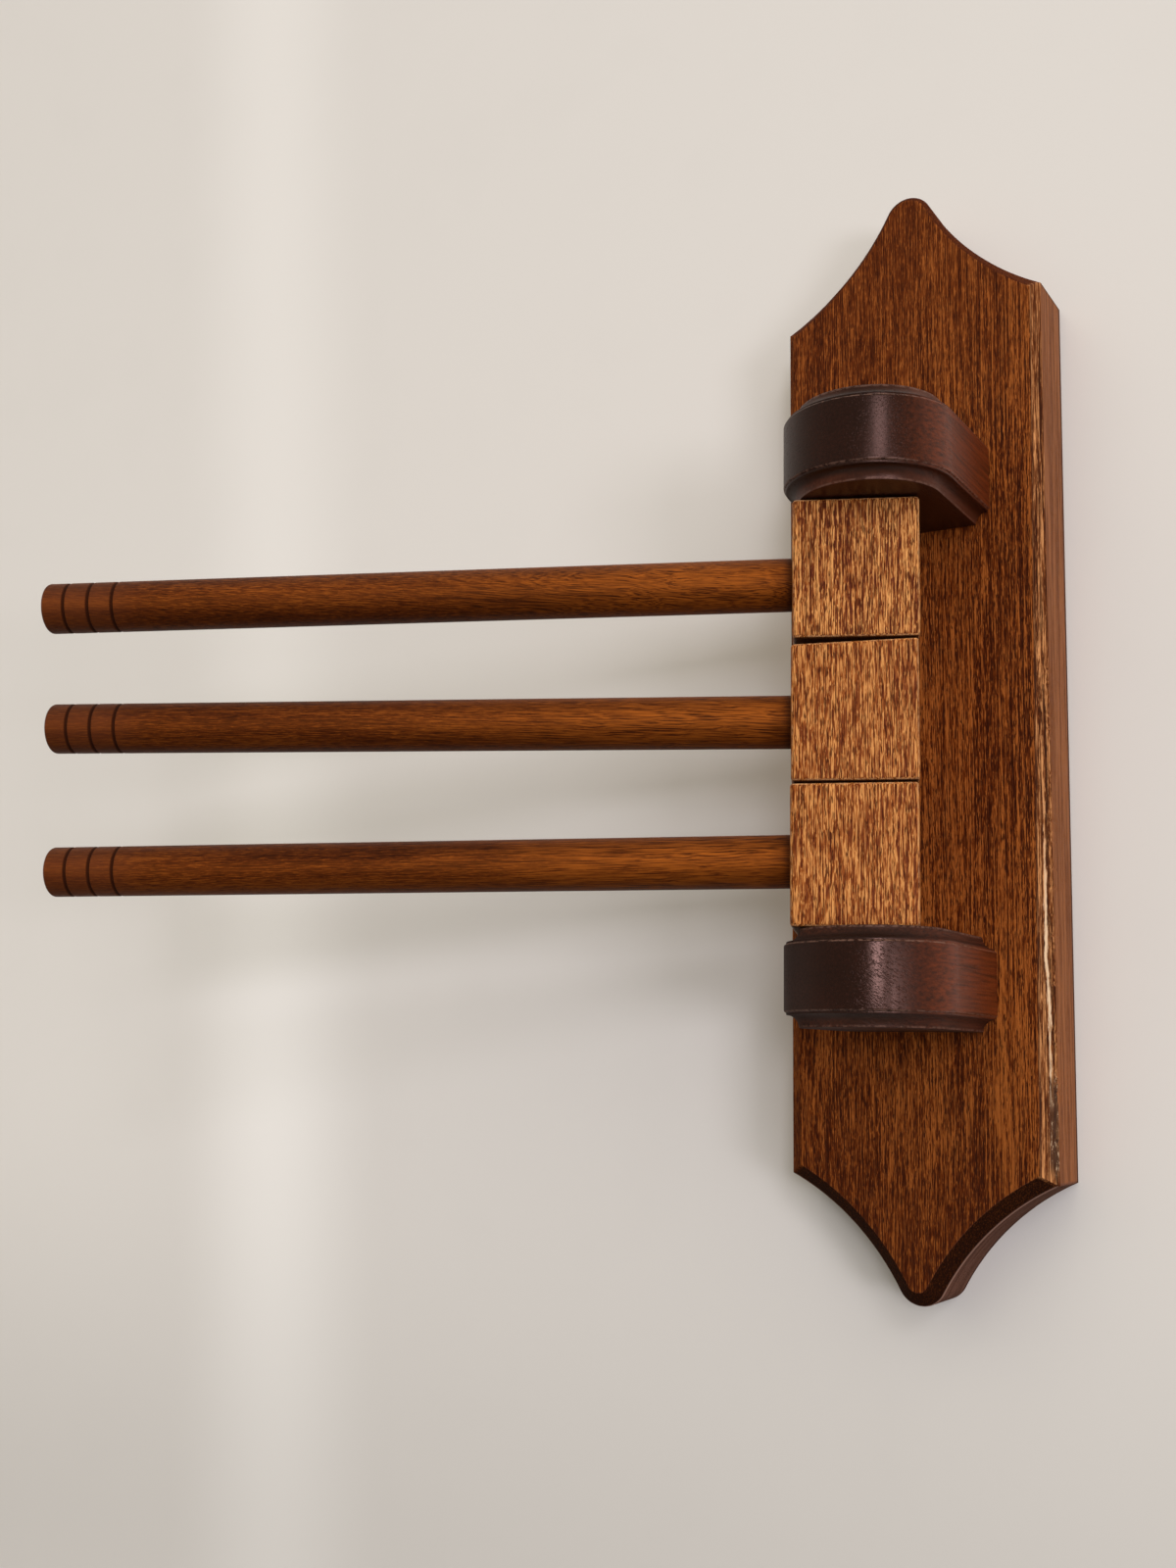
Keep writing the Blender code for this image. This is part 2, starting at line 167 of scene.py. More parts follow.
class Finish:
    # one material, or the world, and the nodes that are added to it
    def __init__(self, name, look, owner=None):
        self.look, self.colour = look, None
        self.owner = owner or bpy.data.materials.new(name)
        self.owner.use_nodes = True
        self.tree = self.owner.node_tree
        self.shader = self.tree.nodes.get("Principled BSDF")

    def plug(self, socket, value):
        if isinstance(value, Wire):
            self.tree.links.new(value.socket, socket)
        else:
            socket.default_value = value

    def add(self, kind, settings=None, sockets=None, out=0):
        node = self.tree.nodes.new("ShaderNode" + kind)
        for key, value in (settings or {}).items():
            if key == "stops":
                first, last = node.color_ramp.elements
                first.position, first.color = value[0]
                last.position, last.color = value[-1]
                for place, colour in value[1:-1]:
                    node.color_ramp.elements.new(place).color = colour
            else:
                setattr(node, key, value)
        for key, value in (sockets or {}).items():
            self.plug(node.inputs[key], value)
        return Wire(self, node.outputs[out])

    def place(self, location=(0, 0, 0), rotation=(0, 0, 0)):
        # Object coordinates in millimetres, seen from a turned frame that stands at location
        return self.add("Mapping", {"vector_type": "TEXTURE"}, {
            "Vector": self.add("TexCoord", out="Object"), "Location": tuple(np.multiply(location, millimetre)),
            "Rotation": tuple(rotation), "Scale": (millimetre,) * 3})

    def parts(self, vector):
        node = self.add("SeparateXYZ", sockets={0: vector}).socket.node
        return [Wire(self, output) for output in node.outputs]

    def scaled(self, vector, scale, shift=(0, 0, 0)):
        return self.add("VectorMath", {"operation": "MULTIPLY_ADD"}, {0: vector, 1: scale, 2: shift})

    def ease(self, value, low, high):
        # 0 at low and 1 at high, smooth between
        return self.add("MapRange", {"interpolation_type": "SMOOTHSTEP"},
                        {"Value": value, "From Min": low, "From Max": high})

    def mix(self, share, first, second):
        return self.add("Mix", {"data_type": "RGBA"}, {0: share, 6: first, 7: second}, out=2)

    def noise(self, vector, across, along, seed=0.0, detail=2.0, rough=0.5):
        # noise drawn out along the third axis, its cells across and along wide in millimetres
        cells = self.scaled(vector, (1 / across, 1 / across, 1 / along), (seed, seed * 1.7, seed * 0.6))
        return self.add("TexNoise", sockets={"Vector": cells, "Scale": 1.0, "Detail": detail, "Roughness": rough})

    def mark(self, name):
        return self.add("Attribute", {"attribute_name": name}, out="Fac")

    def seen(self):
        # 1 for what the eye, a reflection or glass meets, and 0 for light on its way to a matt surface
        rays = [self.add("LightPath", out="Is " + kind + " Ray") for kind in ("Camera", "Glossy", "Transmission")]
        return rays[0].most(rays[1]).most(rays[2])

    def coat(self, share, colour):
        # one more colour over those below, made by nodes or named in the look
        self.colour = self.mix(share, self.colour, colour if isinstance(colour, Wire) else tint(self.look[colour]))

    def finish(self, roughness, height):
        # height feeds a bump of the look's depth, in millimetres, and strength
        depth, strength = self.look["bump"]
        bump = self.add("Bump", sockets={"Strength": strength, "Distance": depth * millimetre, "Height": height})
        sockets = {"Base Color": self.colour, "Roughness": roughness, "Normal": bump, **self.look["fixed"]}
        for name, value in sockets.items():
            self.plug(self.shader.inputs[name], value)


# for all the woods: cell sizes in millimetres, and the noise levels at which a mark starts and is full
grainLook = {"drift": (0.03, 0.03, 0.009), "crowd": (7, 26), "crowdShare": 0.2, "lines": (0.63, 0.72),
             "flecks": (0.32, 2.2), "fleckLevels": (0.57, 0.68), "fleckMean": 0.14, "poreSoftness": 0.1,
             "stops": {"dark": 0.12, "mid": 0.5, "light": 0.88}}


def woodGrain(finish, place, seed=0.0):
    # The tone sums broad bands, long streaks, short fibres and pale flecks, all noise drawn out along the grain.
    # Pores are crests of a shorter noise, crowded in places, and a few run on as dark lines.
    look = finish.look
    drift = finish.add("TexNoise", sockets={"Vector": finish.scaled(place, grainLook["drift"], (seed, 0, 0)),
                                            "Scale": 1.0, "Detail": 1.0}, out="Color")
    bent = finish.scaled(drift, (look["wander"], look["wander"], 0), place)
    bands = finish.noise(bent, *look["bands"], seed + 3)
    streaks = finish.noise(bent, *look["streaks"], seed + 7)
    fibres = finish.noise(bent, *look["fibres"], seed + 13, 1.0)
    dashes = finish.noise(bent, *look["pores"], seed + 19, 1.0)
    crowd = finish.noise(bent, *grainLook["crowd"], seed + 23)
    lines = finish.ease(finish.noise(bent, *look["lines"], seed + 29, 1.0), *grainLook["lines"])
    flecks = finish.ease(finish.noise(bent, *grainLook["flecks"], seed + 67, 1.0), *grainLook["fleckLevels"])
    tone = (0.5 + (bands - 0.5) * look["bandShare"] + (streaks - 0.5) * look["streakShare"]
            + (fibres - 0.5) * look["fibreShare"] + (flecks - grainLook["fleckMean"]) * look["fleckShare"])
    pores = finish.ease(dashes + (crowd - 0.5) * grainLook["crowdShare"],
                        look["poreFrom"], look["poreFrom"] + grainLook["poreSoftness"])
    return tone, pores.most(lines * look["lineShare"]), streaks


def woodColour(finish, tone, pores):
    stops = [(level, tint(finish.look[name])) for name, level in grainLook["stops"].items()]
    finish.colour = finish.add("ValToRGB", {"stops": stops}, {0: tone})
    finish.coat(pores * finish.look["poreShare"], "pore")


# Board

boardShape = {"width": 90.0, "thickness": 27.5, "shoulder": 148.6, "rise": 40.6, "tipRadius": 8.3,
              "hollowRadius": 84.0, "arris": 0.6, "chipDepth": 0.55,
              "chamfer": {-189.2: 4.6, -148.6: 4.8, 148.6: 2.7, 160.0: 1.7, 189.2: 1.3}}   # cut by hand, wider below
plateShape = {"width": 16.0, "thickness": 1.6, "end": 12.5, "height": 120.6, "entry": 9.5, "slot": 4.6,
              "travel": 12.0, "pocketWidth": 11.5, "pocketDepth": 7.0, "ease": 0.25}
bracketScrew = {"diameter": 4.8, "head": 9.4, "length": 49.5, "pitch": 2.1, "smooth": 14.0, "spread": 28.0}
plateScrew = {"diameter": 2.8, "head": 5.4, "length": 11.0, "pitch": 1.1, "smooth": 1.0}
bracketHeights = {"upper": 82.6, "lower": -85.6}
seatGap = 0.3
cutterProud = 3.0   # how far a cutter stands out of the board's back
plateLength = plateShape["entry"] / 2 + plateShape["travel"] + plateShape["slot"] / 2 + 2 * plateShape["end"]
entryZ = plateShape["end"] + plateShape["entry"] / 2 - plateLength / 2
slotZ = entryZ + plateShape["travel"]


def ogeeEnd(shape, inset, hollowSteps):
    # From the corner, a hollow arc that runs without a kink into the round tip, and on to its middle.
    # Drawing in by an inset for each point widens the hollow arc and narrows the tip.
    half, hollowRadius, tipRadius = shape["width"] / 2, shape["hollowRadius"], shape["tipRadius"]
    shoulder = np.array([half, shape["shoulder"]])
    tip = np.array([0.0, shape["shoulder"] + shape["rise"] - tipRadius])
    reach = np.linalg.norm(tip - shoulder)
    along = (reach ** 2 + hollowRadius ** 2 - (hollowRadius + tipRadius) ** 2) / (2 * reach)
    step = (tip - shoulder) / reach
    hollow = shoulder + step * along + np.array([step[1], -step[0]]) * math.sqrt(hollowRadius ** 2 - along ** 2)
    lean = math.atan2(*(hollow - tip)[::-1])
    corner = np.pi + np.arccos((hollow[0] - half + inset[:, :1]) / (hollowRadius + inset[:, :1]))
    turn = corner + (np.pi + lean - corner) * np.linspace(0, 1, hollowSteps)
    tipTurn = np.linspace(lean, np.pi / 2, inset.shape[1] - hollowSteps + 1)[1:]
    hollowRadius, tipRadius = hollowRadius + inset[:, :hollowSteps], tipRadius - inset[:, hollowSteps:]
    tipX = tipRadius * np.cos(tipTurn)
    tipX[:, -1] = 0.0
    return (np.hstack([hollow[0] + hollowRadius * np.cos(turn), tipX]),
            np.hstack([hollow[1] + hollowRadius * np.sin(turn), tip[1] + tipRadius * np.sin(tipTurn)]))


def boardOutline(shape, inset=None, hollowSteps=40, endSteps=57, sideSteps=328):
    # right half of the outline from foot to head: an ogee end, a straight side, an ogee end
    if inset is None:
        inset = np.zeros((1, 2 * endSteps + sideSteps))
    headX, headZ = ogeeEnd(shape, inset[:, -endSteps:], hollowSteps)
    footX, footZ = ogeeEnd(shape, inset[:, endSteps - 1::-1], hollowSteps)
    side = np.linspace(0, 1, sideSteps + 2)[1:-1]
    x = np.hstack([footX[:, ::-1], shape["width"] / 2 - inset[:, endSteps:-endSteps], headX])
    z = np.hstack([-footZ[:, ::-1], (headZ[:, :1] + footZ[:, :1]) * side - footZ[:, :1], headZ])
    return x, z


def ripple(place, lengths, seed):
    # waves of several lengths with settled phases, about -1 to 1
    phases = np.random.default_rng(seed).uniform(0, 2 * np.pi, len(lengths))
    waves = [np.sin(2 * np.pi * place / length + phase) for length, phase in zip(lengths, phases)]
    return np.mean(waves, axis=0) * 1.6


def boardSection(shape, chamfer):
    # inset and depth from the back arris over the side and the chamfer to the front
    thick, arris = shape["thickness"], shape["arris"]
    lean = arris * math.sqrt(0.5)
    return np.vstack([
        eased((0.4, 0), (0, 0), (0, -0.4), 4), [(0, -6), (0, -15)],
        eased((0, chamfer - thick + arris), (0, chamfer - thick), (lean, chamfer - thick - lean), 7),
        [(chamfer * 0.35, -thick + chamfer * 0.65), (chamfer * 0.65, -thick + chamfer * 0.35)],
        eased((chamfer - lean, lean - thick), (chamfer, -thick), (chamfer + arris, -thick), 5)])


def boardLoops(shape):
    # The section is carried along the outline, its chamfer wider below, then mirrored and joined across the front
    # and the back. Each row is one closed loop.
    thick = shape["thickness"]
    chamfer = np.interp(boardOutline(shape)[1][0], list(shape["chamfer"]), list(shape["chamfer"].values()))
    plain, unit = boardSection(shape, 0.0), boardSection(shape, 1.0)
    inset, y = np.moveaxis(plain[:, None] + (unit - plain)[:, None] * chamfer[:, None], -1, 0)
    x, z = boardOutline(shape, inset)
    onChamfer = ((inset > 0.1) & (inset < chamfer + 0.05) & (y < -15)).astype(float)
    onEnd = ((np.abs(z) > shape["shoulder"] - inset * 0.6) & (inset < chamfer + 0.05)).astype(float)
    # the right-hand outer arris is knocked about from the middle down
    toArris = np.hypot(inset, y - chamfer + thick)
    knocked = np.clip(ripple(z, (3.1, 7.3, 1.7, 17.0, 41.0), 5), 0, None) * np.clip((34 - z) / 30, 0, 1)
    knocked = knocked * np.clip((z + 144) / 6, 0, 1) * np.exp(-(toArris / 0.8) ** 2) * shape["chipDepth"]
    right = np.stack([x - knocked * 0.92, y + knocked * 0.38, z], -1)
    left = np.stack([-x, y, z], -1)[::-1]
    front = np.stack(np.broadcast_arrays(x[-1] * np.linspace(1, -1, 12)[1:-1, None], -thick, z[-1]), -1)
    back = np.stack(np.broadcast_arrays(x[0] * np.linspace(-1, 1, 8)[1:-1, None], 0.0, z[0]), -1)
    loops = np.concatenate([right, front, left, back])
    bare = [np.zeros(part.shape[:2]) for part in (front, back)]
    marks = {name: np.concatenate([value, bare[0], value[::-1], bare[1]]).T
             for name, value in (("chamfer", onChamfer), ("endGrain", onEnd))}
    return loops.transpose(1, 0, 2), marks


def stadium(width, low, high, steps=20):
    # a slot outline: two half circles about low and high
    topX, topZ = arc(0, np.pi, steps)
    footX, footZ = arc(np.pi, 2 * np.pi, steps)
    return (np.concatenate([topX, footX]) * width / 2,
            np.concatenate([high + topZ * width / 2, low + footZ * width / 2]))


def prism(outline, back, front, height):
    x, z = outline
    return skin(np.stack([np.stack([x, 0 * x + y, z + height], -1) for y in (back, front)]))


def intoBoard(points, x, z, sunk):
    # a shape turned on the first axis, set into the board's back at x, z
    place, right, up = np.moveaxis(points, -1, 0)
    return np.stack([x + right, -sunk - place, z + up], -1)


def screwHole(screw, x, z, sunk):
    shank, cap = screw["diameter"] / 2 + seatGap, screw["head"] / 2 + seatGap
    profile = [(-cutterProud, cap), (0, cap), (cap - shank, shank), (screw["length"] - screw["diameter"], shank),
               (screw["length"] + seatGap, shank * 0.33)]
    return skin(intoBoard(turned(profile, 36), x, z, sunk))


def screwPlaces():
    # every screw's name, sizes and place on the board's back
    for level, height in bracketHeights.items():
        for side, sign in (("left", -1), ("right", 1)):
            yield f"{level}_bracket_screw_{side}", bracketScrew, sign * bracketScrew["spread"] / 2, height, seatGap
    for level, sign in (("upper", 1), ("lower", -1)):
        for end, turn in (("top", 1), ("bottom", -1)):
            z = sign * plateShape["height"] + turn * (plateLength - plateShape["end"]) / 2
            yield f"{level}_plate_screw_{end}", plateScrew, 0.0, z, 2 * seatGap


screwHoles = {name: screwHole(*rest) for name, *rest in screwPlaces()}


def holes(part):
    # the holes of all screws with this in their name, as one shape
    return together([hole for name, hole in screwHoles.items() if part in name])


boardLook = {"dark": (52, 13, 2), "mid": (103, 44, 9), "light": (160, 88, 36), "pore": (42, 9, 1),
             "bands": (15, 170), "streaks": (0.36, 22), "fibres": (0.24, 4.2), "pores": (0.34, 2.8), "lines": (0.4, 26),
             "bandShare": 0.7, "streakShare": 2.3, "fibreShare": 1.9, "fleckShare": 0.4, "lineShare": 0.7,
             "wander": 2.4, "poreFrom": 0.56, "poreShare": 0.75, "rings": (0.62, 70), "ringShare": 1.8,
             "chamferLight": (212, 146, 92), "chamferMid": (106, 51, 19), "chamferDark": (50, 17, 5),
             "worn": (230, 194, 158), "crack": (40, 14, 5), "scuff": (66, 44, 34), "side": (158, 97, 59),
             "sideDark": (118, 66, 36), "end": (24, 7, 4), "endHead": (66, 27, 13), "endSide": (122, 83, 70),
             "endTop": (92, 48, 28), "raw": (150, 104, 70), "backEdge": (50, 20, 12), "arris": (168, 128, 112),
             "foot": (52, 18, 6), "roughness": 0.44, "bump": (0.09, 0.6),
             "fixed": {"Specular IOR Level": 0.12, "Specular Tint": (1.0, 0.7, 0.45, 1.0)}}
# heights between which the wear on the right-hand chamfer starts and is full
boardWear = {"top": (44, 24), "low": (-15, -70), "thin": (-94, -108), "end": (-128, -112), "scuff": (-111, -121),
             "scuffEnd": (-148, -142), "crack": (150, 30), "halfWidth": 0.045, "edge": 0.07}


def boardFinish(look, wear):
    finish = Finish("board wood", look)
    place = finish.place()
    x, y, z = finish.parts(place)
    tone, pores, streaks = woodGrain(finish, place)
    # the grain is calmer towards the head, the growth rings show most towards the right edge, and the foot is darker
    clear = 0.62 + finish.ease(z, 170, 60) * 0.46
    tone, pores = (tone - 0.5) * clear + 0.5, pores * clear
    rings = finish.noise(place, *look["rings"], 47) - 0.5
    foot = finish.ease(z, -110, -180)
    tone = tone + rings * finish.ease(x, -20, 42) * look["ringShare"] + finish.ease(x, 10, 45) * 0.06 - foot * 0.16
    woodColour(finish, tone, pores)
    finish.coat(foot * 0.35, "foot")
    chamfer, endGrain = finish.mark("chamfer"), finish.mark("endGrain")
    wood = 1 - endGrain

    # the chamfer on the right is barer, so its streaks are stronger, with a dark line along its inner edge; its golden
    # tone is partly a painted highlight where it faces the light
    size = 3.75 - z * 0.0071  # the chamfer's width at this height
    across = (x - boardShape["width"] / 2) / size + 1
    onRight = finish.ease(x, 38.5, 40) * wood
    flakes = finish.noise(place, 0.5, 18, 31, 2.0, 0.6)
    stops = [(level, tint(look["chamfer" + name])) for level, name in ((0.34, "Dark"), (0.49, "Mid"), (0.68, "Light"))]
    golden = finish.add("ValToRGB", {"stops": stops}, {0: flakes + (tone - 0.5) * 0.25})
    finish.coat(chamfer * onRight * 0.9, golden)
    innerEdge = finish.ease(abs(across + (flakes - 0.5) * 0.25), 0.12, 0.03) * finish.ease(y, -26.6, -27)
    finish.coat(innerEdge * onRight * 0.6, "chamferDark")

    # along a ragged line it is worn through to bare wood, from the blocks down to a scuff at the foot
    line = 0.3 + finish.ease(z, 34, -21) * 0.18 + finish.ease(z, -75, -100) * 0.14
    ragged = finish.noise(place, 0.6, 6, 37, 3.0, 0.7) - 0.5
    low = finish.ease(z, *wear["low"])
    offLine = across - line - ragged * (0.6 - low * 0.2)
    width = low * wear["halfWidth"] - finish.ease(z, *wear["thin"]) * wear["halfWidth"]
    bare = finish.ease(abs(offLine), width + wear["edge"], width)
    bare = bare * finish.ease(z, *wear["top"]) * finish.ease(z, *wear["end"])
    bare = bare * finish.ease(finish.noise(place, 1.2, 9, 41) + low * 0.12, 0.46, 0.54)
    scuff = finish.ease(z, *wear["scuff"]) * finish.ease(z, *wear["scuffEnd"])
    scuff = scuff * finish.ease(across, 0.4, 0.6) * finish.ease(across, 1.02, 0.94)
    patchy = finish.noise(place, 0.7, 3.2, 43, 3.0, 0.7)
    crack = finish.ease(abs(offLine - 0.2), 0.1, 0.04).most(finish.ease(abs(offLine + 0.22), 0.06, 0.01) * 0.7)
    crack = crack * finish.ease(z, *wear["crack"]) * finish.ease(flakes + ragged, 0.4, 0.55)
    near = onRight * finish.ease(y, -20, -22.4)
    finish.coat(crack * near * 0.8, "crack")
    scuffed = finish.mix(finish.ease(patchy, 0.45, 0.35), tint(look["scuff"]), tint(look["crack"]))
    finish.coat(scuff * near * 0.8, scuffed)
    worn = bare.most(scuff * finish.ease(patchy, 0.58, 0.66) * 0.7) * near
    finish.coat(worn, finish.mix(low, tint(look["chamferLight"]), tint(look["worn"])))

    # sawn ends and side faces took the stain differently, and the back was left raw
    side = (1 - chamfer) * finish.ease(y, -25.5, -24.5) * finish.ease(y, 0.0, -0.1) * wood
    planed = finish.noise(place, 1.7, 44, 59, 3.0, 0.7)
    sideTone = finish.mix(finish.ease(planed, 0.58, 0.42), tint(look["side"]), tint(look["sideDark"]))
    finish.coat(side * 0.85, sideTone)
    layers = finish.add("TexNoise", sockets={"Vector": finish.scaled(place, (0.04, 0.5, 0.04), (61, 0, 0)),
                                             "Scale": 1.0, "Detail": 3.0, "Roughness": 0.65})
    specks = finish.ease(finish.noise(place, 0.5, 0.5, 53, 1.0), 0.56, 0.66)
    fine = finish.noise(place, 0.4, 2.2, 53, 2.0, 0.6) - 0.5
    head = finish.ease(z, -10, 10)
    sawn = finish.mix(head, tint(look["endSide"]), tint(look["endTop"]))
    sawn = finish.mix(finish.ease(layers, 0.6, 0.4) * 0.45, sawn, tint(look["end"]))
    sawn = finish.mix(specks * 0.5, sawn, tint(look["end"]))
    cut = finish.mix(head, tint(look["end"]), tint(look["endHead"]))
    finish.coat(endGrain * (0.85 + fine * 0.8), finish.mix(chamfer, sawn, cut))
    arris = finish.ease(abs(y + 22.8), 0.5, 0.2) * finish.ease(z, -140, -150) * endGrain
    finish.coat(arris * 0.7, "arris")
    # a painted shadow along the back edge, where the board meets the wall
    backEdge = finish.ease(y, -2.6, -1.6) * finish.ease(y, -0.05, -0.3)
    finish.coat(backEdge * 0.8, "backEdge")
    raw = finish.ease(y, -0.35, -0.05)
    finish.coat(raw * (0.45 + tone * 0.35), "raw")
    roughness = (look["roughness"] + pores * 0.16 + (streaks - 0.5) * 0.2 + worn * 0.25
                 + raw.most(side).most(endGrain.most(chamfer - onRight) * 2.6) * 0.2)
    finish.finish(roughness, (tone - 0.5) * 0.5 - pores - crack * near * 2 - worn)
    return finish


loops, marks = boardLoops(boardShape)
rows, columns = loops.shape[:2]
board = newObject("backBoard", (loops.reshape(-1, 3), gridFaces(rows, columns)), marks)
straight = (plateLength - plateShape["width"]) / 2
mortise = stadium(plateShape["width"] + 2 * seatGap, -straight, straight)
pocket = stadium(plateShape["pocketWidth"], entryZ, slotZ)
mortiseFloor = -2 * seatGap - plateShape["thickness"]
plateHeights = {"upper": plateShape["height"], "lower": -plateShape["height"]}
recesses = [together([prism(outline, cutterProud, floor, height) for height in plateHeights.values()])
            for outline, floor in ((mortise, mortiseFloor), (pocket, mortiseFloor - plateShape["pocketDepth"]))]
carve(board, [holes("bracket"), *recesses, holes("plate")])
dress(board, "backboard", "frame", boardFinish(boardLook, boardWear), sharp=28)

# Brackets

bracketShape = {"width": 55.2, "depth": 65.7, "band": 21.2, "step": 0.7, "cove": 4.0, "ease": 0.3}
pivot = {"y": -52.226, "z": -1.5, "space": 137.6, "rod": 8.0, "seat": 18.0, "rodEase": 0.7}
rodReach = pivot["space"] / 2 + pivot["seat"]
boreRadius = pivot["rod"] / 2 + seatGap


def bracketLoops(shape, height, steps=90):
    # A D outline, straight from the board and half round at the front, drawn in along the section:
    # the top face, a cove, a small step, the plain band, then the same turned over.
    half, step, cove, ease = shape["band"] / 2, shape["step"], shape["cove"], shape["ease"]
    top = half + step + cove
    turnX, turnZ = arc(0.09, np.pi / 2 - 0.07, 14)
    upper = np.vstack([
        eased((step + cove + ease, top), (step + cove, top), (step + cove, top - ease), 4),
        np.stack([step + cove * turnX, top - cove * turnZ], -1),
        eased((step + ease * 0.8, half + step), (step, half + step), (step, half + step * 0.5), 4),
        [(step, half + 0.05), (step * 0.85, half - 0.05)],
        eased((ease, half - 0.2), (0, half - ease), (0, half - 0.9), 5)])
    section = np.vstack([upper, [(0, half * 0.4)], (upper * (1, -1))[::-1]])
    inset, rise = section.T[..., None]
    radius = shape["width"] / 2 - inset
    root = -boardShape["thickness"] - seatGap
    centre = -boardShape["thickness"] - shape["depth"] + shape["width"] / 2
    turnX, turnY = arc(np.pi, 2 * np.pi, steps)
    x = np.hstack([-radius, radius * turnX, radius])
    y = np.hstack([root + 0 * radius, centre + radius * turnY, root + 0 * radius])
    return np.stack(np.broadcast_arrays(x, y, height + rise), -1)


bracketLook = {"dark": (11, 3, 1), "mid": (22, 8, 4), "light": (38, 16, 9), "pore": (7, 2, 1),
               "bands": (18, 90), "streaks": (0.9, 24), "fibres": (0.45, 6), "pores": (0.55, 4), "lines": (0.5, 20),
               "bandShare": 0.8, "streakShare": 1.0, "fibreShare": 0.6, "fleckShare": 0.1, "lineShare": 0.4,
               "wander": 2.0, "poreFrom": 0.6, "poreShare": 0.5,
               "flank": (112, 47, 17), "worn": (132, 98, 84), "cove": (84, 42, 26), "roughness": 0.23,
               "bump": (0.1, 0.55), "fixed": {"Specular IOR Level": 0.38, "Specular Tint": (1.0, 0.57, 0.48, 1.0)}}


def bracketFinish(look):
    finish = Finish("bracket wood", look)
    place = finish.place()
    x, y, z = finish.parts(place)
    # how far past the band's edge, up or down: the cove lies from 0.7 to 4.7
    rise = z - pivot["z"]
    past = abs(abs(rise) - (bracketHeights["upper"] - pivot["z"])) - bracketShape["band"] / 2
    # the plank's grain runs out from the wall, so the round front is end grain
    along = finish.place(rotation=(math.pi / 2, 0, 0))
    tone, pores, streaks = woodGrain(finish, along)
    woodColour(finish, tone, pores)
    # redder on the right flank
    flank = finish.ease(x, 3, 27) * finish.ease(y, -95, -70)
    finish.coat(flank * (0.55 + (streaks - 0.5) * 1.6), "flank")
    scattered = finish.noise(place, 1.6, 1.6, 5, 3.0, 0.7)
    # the lip line is a painted highlight along the lower lip's arris; the band's edges are rubbed wear
    lipHighlight = finish.ease(past, 3.8, 4.2) * finish.ease(past, 4.64, 4.54) * 0.7
    rubbed = finish.ease(abs(past + 0.25), 0.42, 0.12).most(lipHighlight) * finish.ease(scattered, 0.4, 0.58)
    # painted shade in the coves where they meet the band; towards the end faces they are redder, partly painted light
    # reflected from the board, most on the upper bracket
    inCove = finish.ease(past, 0.1, 0.6)
    finish.coat(inCove * 0.7, "dark")
    redder = finish.ease(past, 1.4, 3.0) * (0.3 + finish.ease(z, -60, 60) * 0.45 + (streaks - 0.5) * 1.2)
    redder = redder * (1 - finish.ease(abs(x - 10), 15, 5) * 0.6)  # less at the front
    finish.coat(redder, "cove")
    topCove = finish.ease(rise, 94.8, 95.6) * finish.ease(x, 22, 0)
    finish.coat(topCove * 0.65, "dark")
    finish.coat(finish.ease(past, 4.6, 4.68) * 0.6, "dark")  # painted shade on the end faces, top and underside
    finish.coat(rubbed * 0.5, "worn")
    # a cutter left small slanting dents on the front of the lower bracket
    slant = finish.add("Mapping", {"vector_type": "TEXTURE"},
                       {"Vector": place, "Rotation": (0, math.radians(36), 0), "Scale": (2.6, 1.5, 0.45)})
    dents = finish.add("TexNoise", sockets={"Vector": slant, "Scale": 1.0, "Detail": 1.0})
    dentArea = finish.ease(z, -70, -76) * finish.ease(abs(x - 12), 11, 4) * finish.ease(y, -70, -80)
    dented = finish.ease(dents, 0.54, 0.68) * dentArea
    peel = finish.noise(place, 0.7, 0.7, 9, 2.0, 0.6)
    # the left end is duller, most on the lower bracket, and hands have polished a line down the front of that one
    low = finish.ease(z, 0, -40)
    dull = finish.ease(x, 0, -22) * (1 + low * 1.2) + low * finish.ease(abs(x - 19), 5, 3) * 0.5
    polish = low * finish.ease(abs(x - 10), 7, 4) * 0.04
    matt = inCove * (0.3 + low * 0.7) + flank * 0.6 + dull
    roughness = look["roughness"] + (peel - 0.5) * 0.16 + pores * 0.1 + matt * 0.25 - polish
    finish.finish(roughness, (peel - 0.5) * 0.3 - pores * 0.4 - dented * 1.1)
    return finish


bracketWood = bracketFinish(bracketLook)
rodHole = [(end * (rodReach + seatGap), boreRadius) for end in (-1, 1)]


def upright(points, height):
    # a shape turned on the first axis, stood up on the pivot
    place, x, y = np.moveaxis(points, -1, 0)
    return np.stack([x, pivot["y"] + y, height + place], -1)


for level, height in bracketHeights.items():
    bracket = newObject(level + "Bracket", skin(bracketLoops(bracketShape, height)))
    carve(bracket, [skin(upright(turned(rodHole, 48), pivot["z"])), holes(level + "_bracket")])
    dress(bracket, level + "_bracket", "frame", bracketWood, sharp=30)

# Swing arms

levels = {"upper": {"height": 44.2, "swing": 22.5, "rise": -0.5, "slope": 0.0, "seed": 0.0},
          "middle": {"height": -1.5, "swing": 20.9, "rise": 0.5, "slope": 1.2, "seed": 40.0},
          "lower": {"height": -47.2, "swing": 19.9, "rise": -0.5, "slope": 0.0, "seed": 80.0}}
blockShape = {"length": 39.8, "depth": 39.8, "height": 45.2, "offset": 10.0, "ease": 1.2, "corner": 1.5}
armShape = {"diameter": 17.4, "reach": 258.0, "plain": 225.0, "tipEase": 1.5, "heelEase": 0.6, "rings": 3,
            "firstRing": 8.3, "ringPitch": 8.8, "ringWidth": 1.4, "ringDepth": 0.8, "socketWall": 5.5}
boreCutter, socketMouth = 26.0, 4.0   # how far the cutters reach past the block's middle and its face
blockFace = blockShape["offset"] + blockShape["length"] / 2
socketDepth = blockFace - boreRadius - armShape["socketWall"]
ringPlaces = armShape["reach"] - armShape["firstRing"] - armShape["ringPitch"] * np.arange(armShape["rings"])[::-1]


